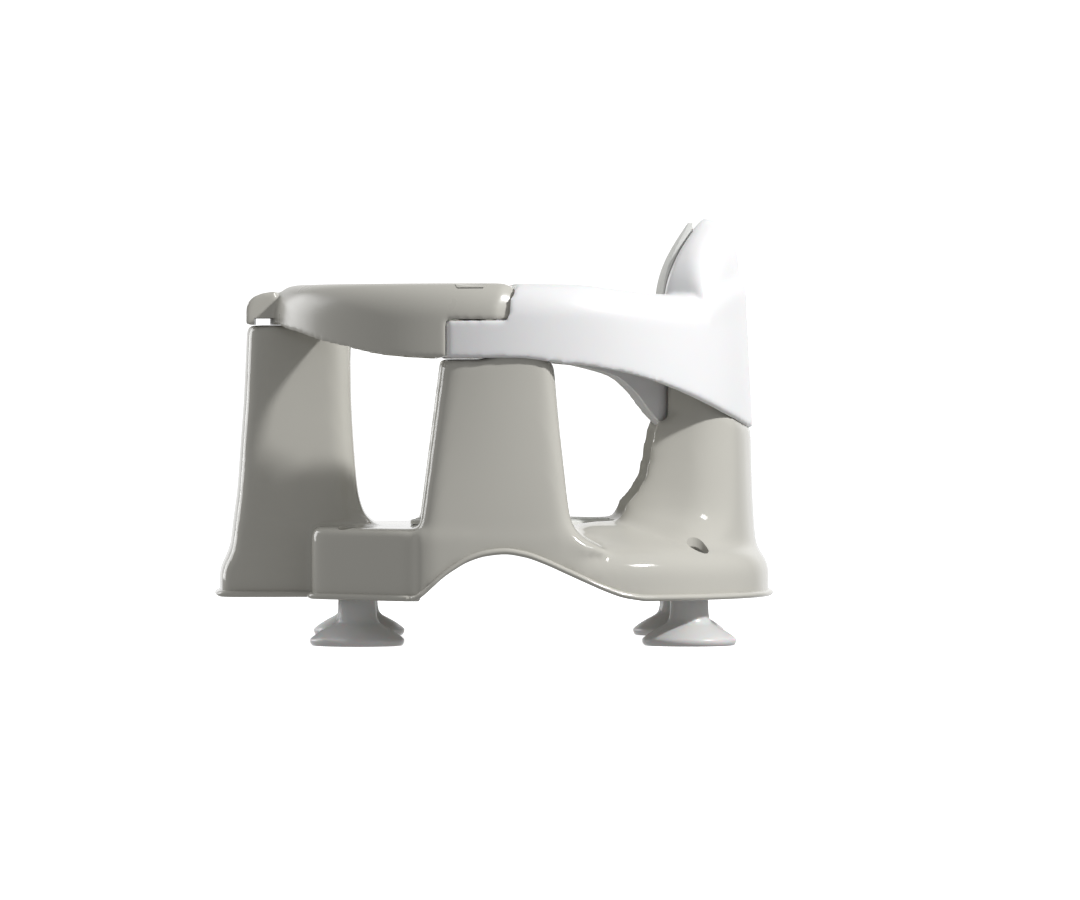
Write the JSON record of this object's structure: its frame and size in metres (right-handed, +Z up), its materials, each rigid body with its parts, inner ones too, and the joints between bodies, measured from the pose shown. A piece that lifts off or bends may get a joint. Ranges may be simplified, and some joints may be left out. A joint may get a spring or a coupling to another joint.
{
  "type": "baby bath seat",
  "caption": "Round baby bath seat with a raised headrest, a crotch post, side posts, a swinging front gate with a push-button latch, and suction cup feet.",
  "frame": {"origin": "on the tub floor, under the middle of the object's bounding box", "axes": "+X towards the backrest, +Y to the side with the latch button, +Z up"},
  "size_m": [0.3616, 0.3258, 0.2733],
  "materials": {
    "grey_gloss_plastic": "light warm grey injection moulding, glossy",
    "white_gloss_plastic": "white injection moulding, glossy",
    "soft_grey_rubber": "soft grey thermoplastic rubber, matt",
    "soft_white_rubber": "translucent white soft vinyl of the suction cups",
    "steel": "stainless steel of the screws, pin, clip and spring",
    "natural_acetal": "natural acetal bearing plastic"
  },
  "bodies": {
    "frame": {"seat_base": "grey_gloss_plastic", "rear_ring": "white_gloss_plastic", "seat_mat": "soft_grey_rubber", "headrest_pad": "soft_grey_rubber", "pivot_bush": "natural_acetal", "suction_cup_front_left": "soft_white_rubber", "suction_cup_front_right": "soft_white_rubber", "suction_cup_rear_left": "soft_white_rubber", "suction_cup_rear_right": "soft_white_rubber", "ring_screw_left": "steel", "ring_screw_right": "steel", "ring_screw_rear_left": "steel", "ring_screw_rear_right": "steel"},
    "gate": {"gate_shell": "grey_gloss_plastic", "gate_cover": "grey_gloss_plastic", "pivot_pin": "steel", "pivot_washer": "natural_acetal", "pivot_clip": "steel", "pivot_cap": "grey_gloss_plastic", "gate_screw_1": "steel", "gate_screw_2": "steel", "gate_screw_3": "steel", "gate_screw_4": "steel"},
    "latch_button": {"release_button": "grey_gloss_plastic", "button_spring": "steel", "latch_collar": "natural_acetal", "latch_screw": "steel"}
  },
  "joints": [
    {"name": "gate_swing", "type": "hinge", "parent": "frame", "child": "gate", "pos_m": [-0.0154, -0.139, 0.206], "axis": [0, 0, 1], "range_deg": [0, 70]},
    {"name": "button_press", "type": "slide", "parent": "gate", "child": "latch_button", "axis": [0, 0, -1], "range_m": [0, 0.004], "stiffness_N_per_m": 400, "springref_m": -0.003, "deforming": ["button_spring"]}
  ]
}
